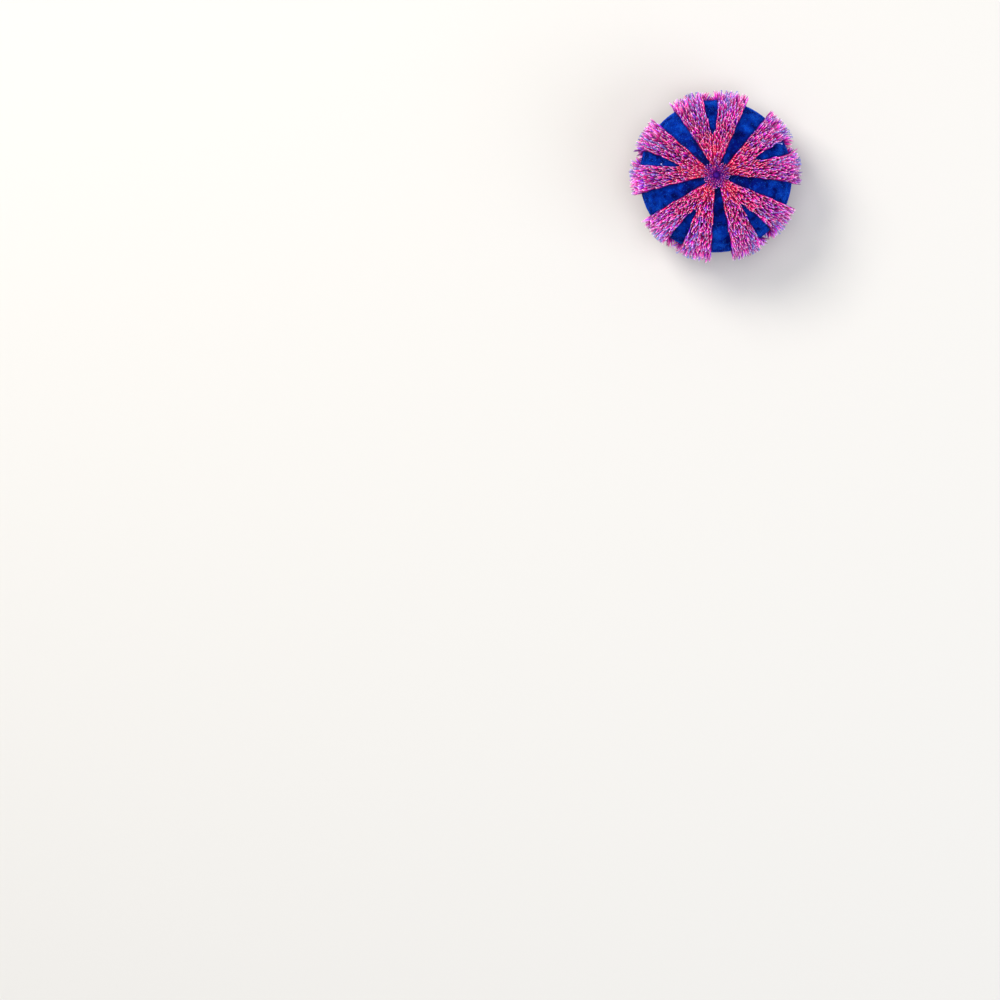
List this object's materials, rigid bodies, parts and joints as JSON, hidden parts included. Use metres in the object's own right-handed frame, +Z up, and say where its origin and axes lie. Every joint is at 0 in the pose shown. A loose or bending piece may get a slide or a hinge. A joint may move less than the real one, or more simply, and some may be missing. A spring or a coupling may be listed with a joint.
{
  "type": "tuxedo urchin",
  "caption": "Life-size globular sea urchin, velvety blue bare bands between tracts of short crimson spines, standing on its lower spines as a still model.",
  "frame": {"origin": "on the floor, under the middle of the test", "axes": "+Z up through the apex, -Y along the middle of the broad band that points down the picture"},
  "size_m": [0.0593, 0.0581, 0.043],
  "materials": {
    "spiny_tract": "crimson to magenta spines on a dark red skin",
    "blue_skin": "velvety ultramarine skin",
    "apical_disc": "violet plates with pale and blue spots",
    "mouth": "soft pinkish membrane with white tooth tips"
  },
  "bodies": {
    "root": {"spiny_tract_1a": "spiny_tract", "spiny_tract_1b": "spiny_tract", "spiny_tract_2a": "spiny_tract", "spiny_tract_2b": "spiny_tract", "spiny_tract_3a": "spiny_tract", "spiny_tract_3b": "spiny_tract", "spiny_tract_4a": "spiny_tract", "spiny_tract_4b": "spiny_tract", "spiny_tract_5a": "spiny_tract", "spiny_tract_5b": "spiny_tract", "broad_band_1": "blue_skin", "broad_band_2": "blue_skin", "broad_band_3": "blue_skin", "broad_band_4": "blue_skin", "broad_band_5": "blue_skin", "narrow_band_1": "blue_skin", "narrow_band_2": "blue_skin", "narrow_band_3": "blue_skin", "narrow_band_4": "blue_skin", "narrow_band_5": "blue_skin", "apical_disc": "apical_disc", "mouth": "mouth"}
  },
  "joints": []
}
